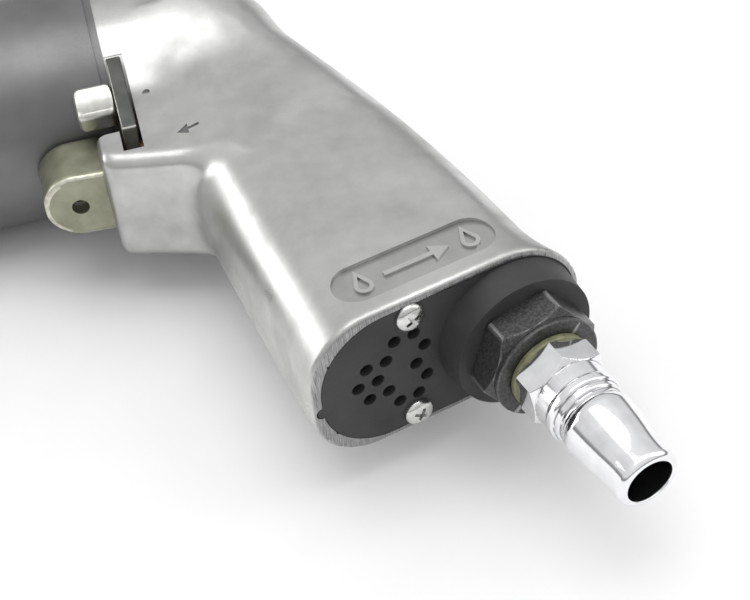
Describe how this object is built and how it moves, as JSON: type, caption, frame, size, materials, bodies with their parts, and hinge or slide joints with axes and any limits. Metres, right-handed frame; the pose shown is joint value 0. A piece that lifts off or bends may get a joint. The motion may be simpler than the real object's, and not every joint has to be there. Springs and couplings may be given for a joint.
{
  "type": "air drill",
  "caption": "Pistol grip air drill with a squeeze trigger, rocking reverse lever, planetary gear head, keyed chuck and quick connect plug in the butt of the grip.",
  "frame": {"origin": "on the spindle axis, in the middle of the chuck jaws' grip", "axes": "+X along the spindle out of the chuck, +Y down the grip, +Z out of the drill's left side, up when it lies on its right side as in the picture"},
  "size_m": [0.2037, 0.1602, 0.047],
  "materials": {
    "cast_aluminium": "satin casting",
    "dark_cover": "matte dark coat",
    "bright_zinc": "bright zinc plate",
    "black_steel": "black oxide",
    "seal_fibre": "sealing fibre",
    "chrome": "bright chrome plate",
    "brass": "turned",
    "felt": "pressed felt",
    "die_cast_zinc": "bare zinc die casting",
    "steel": "ground",
    "rubber": "plain",
    "dark_steel": "dark stamped",
    "motor_iron": "ground faces",
    "vane_laminate": "woven laminate",
    "gear_steel": "oiled",
    "bearing_steel": "polished",
    "case_aluminium": "dark hard coat",
    "chuck_steel": "dark satin plate",
    "jaw_steel": "hardened and ground"
  },
  "bodies": {
    "housing": {"body_casting": "cast_aluminium", "exhaust_cover": "dark_cover", "cover_screws": "bright_zinc", "inlet_bushing": "black_steel", "seal_washer": "seal_fibre", "hose_plug": "chrome", "inlet_screen": "brass", "muffler_felt": "felt", "throttle_bushing": "brass", "stem_o_ring": "rubber", "valve_spring": "steel", "motor_rear_plate": "motor_iron", "motor_cylinder": "motor_iron", "motor_front_plate": "motor_iron", "motor_dowel": "steel", "rotor_rear_bearing_outer_ring": "bearing_steel", "rotor_front_bearing_outer_ring": "bearing_steel", "ring_gear": "gear_steel", "spindle_rear_bearing_outer_ring": "bearing_steel", "spindle_front_bearing_outer_ring": "bearing_steel", "bearing_spacer": "case_aluminium", "dust_seal": "rubber", "gear_case": "case_aluminium"},
    "trigger_group": {"trigger": "die_cast_zinc", "trigger_pin": "steel", "valve_stem": "steel", "throttle_valve": "rubber"},
    "reverser": {"reverse_lever": "dark_steel", "reverse_tab": "bright_zinc", "reverse_sleeve": "brass"},
    "spindle_group": {"spindle": "steel", "planet_pins": "steel", "spindle_rear_bearing_inner_ring": "bearing_steel", "spindle_rear_bearing_balls": "bearing_steel", "spindle_front_bearing_inner_ring": "bearing_steel", "spindle_front_bearing_balls": "bearing_steel", "chuck_body": "chuck_steel", "chuck_screw": "steel"},
    "rotor_group": {"rotor": "steel", "rotor_vanes": "vane_laminate", "rotor_rear_bearing_inner_ring": "bearing_steel", "rotor_rear_bearing_balls": "bearing_steel", "rotor_front_bearing_inner_ring": "bearing_steel", "rotor_front_bearing_balls": "bearing_steel"},
    "planet_a": {"planet_gear_a": "gear_steel"},
    "planet_b": {"planet_gear_b": "gear_steel"},
    "planet_c": {"planet_gear_c": "gear_steel"},
    "sleeve_group": {"chuck_sleeve": "chuck_steel", "chuck_nut": "steel"},
    "jaw_one": {"jaw_a": "jaw_steel"},
    "jaw_two": {"jaw_b": "jaw_steel"},
    "jaw_three": {"jaw_c": "jaw_steel"}
  },
  "joints": [
    {"name": "trigger_pull", "type": "slide", "parent": "housing", "child": "trigger_group", "axis": [-1, 0, 0], "range_m": [0, 0.0035], "stiffness_N_per_m": 1200, "springref_m": -0.003, "deforming": ["valve_spring"]},
    {"name": "reverse_rock", "type": "hinge", "parent": "housing", "child": "reverser", "pos_m": [-0.1258, 0.03, 0], "axis": [-1, 0, 0], "range_deg": [0, 20]},
    {"name": "spindle_turn", "type": "hinge", "parent": "housing", "child": "spindle_group", "pos_m": [0, 0, 0], "axis": [1, 0, 0], "continuous": true},
    {"name": "rotor_turn", "type": "hinge", "parent": "housing", "child": "rotor_group", "pos_m": [-0.124, 0, 0], "axis": [1, 0, 0], "continuous": true},
    {"name": "planet_a_turn", "type": "hinge", "parent": "spindle_group", "child": "planet_a", "pos_m": [-0.0918, 0.00975, 0], "axis": [1, 0, 0], "continuous": true},
    {"name": "planet_b_turn", "type": "hinge", "parent": "spindle_group", "child": "planet_b", "pos_m": [-0.0918, -0.00487, 0.00844], "axis": [1, 0, 0], "continuous": true},
    {"name": "planet_c_turn", "type": "hinge", "parent": "spindle_group", "child": "planet_c", "pos_m": [-0.0918, -0.00487, -0.00844], "axis": [1, 0, 0], "continuous": true},
    {"name": "sleeve_turn", "type": "hinge", "parent": "spindle_group", "child": "sleeve_group", "pos_m": [-0.0272, 0, 0], "axis": [-1, 0, 0], "range_deg": [-2064, 2640]},
    {"name": "jaw_one_slide", "type": "slide", "parent": "spindle_group", "child": "jaw_one", "axis": [0.9816, -0.1908, 0], "range_m": [-0.0086, 0.011]},
    {"name": "jaw_two_slide", "type": "slide", "parent": "spindle_group", "child": "jaw_two", "axis": [0.9816, 0.0954, -0.1652], "range_m": [-0.0086, 0.011]},
    {"name": "jaw_three_slide", "type": "slide", "parent": "spindle_group", "child": "jaw_three", "axis": [0.9816, 0.0954, 0.1652], "range_m": [-0.0086, 0.011]}
  ],
  "couplings": [
    {"joint": "rotor_turn", "follows": "spindle_turn", "ratio": 6},
    {"joint": "planet_a_turn", "follows": "spindle_turn", "ratio": -2.5},
    {"joint": "planet_b_turn", "follows": "spindle_turn", "ratio": -2.5},
    {"joint": "planet_c_turn", "follows": "spindle_turn", "ratio": -2.5},
    {"joint": "jaw_one_slide", "follows": "sleeve_turn", "m_per_rad": 0.00023873},
    {"joint": "jaw_two_slide", "follows": "sleeve_turn", "m_per_rad": 0.00023873},
    {"joint": "jaw_three_slide", "follows": "sleeve_turn", "m_per_rad": 0.00023873}
  ]
}
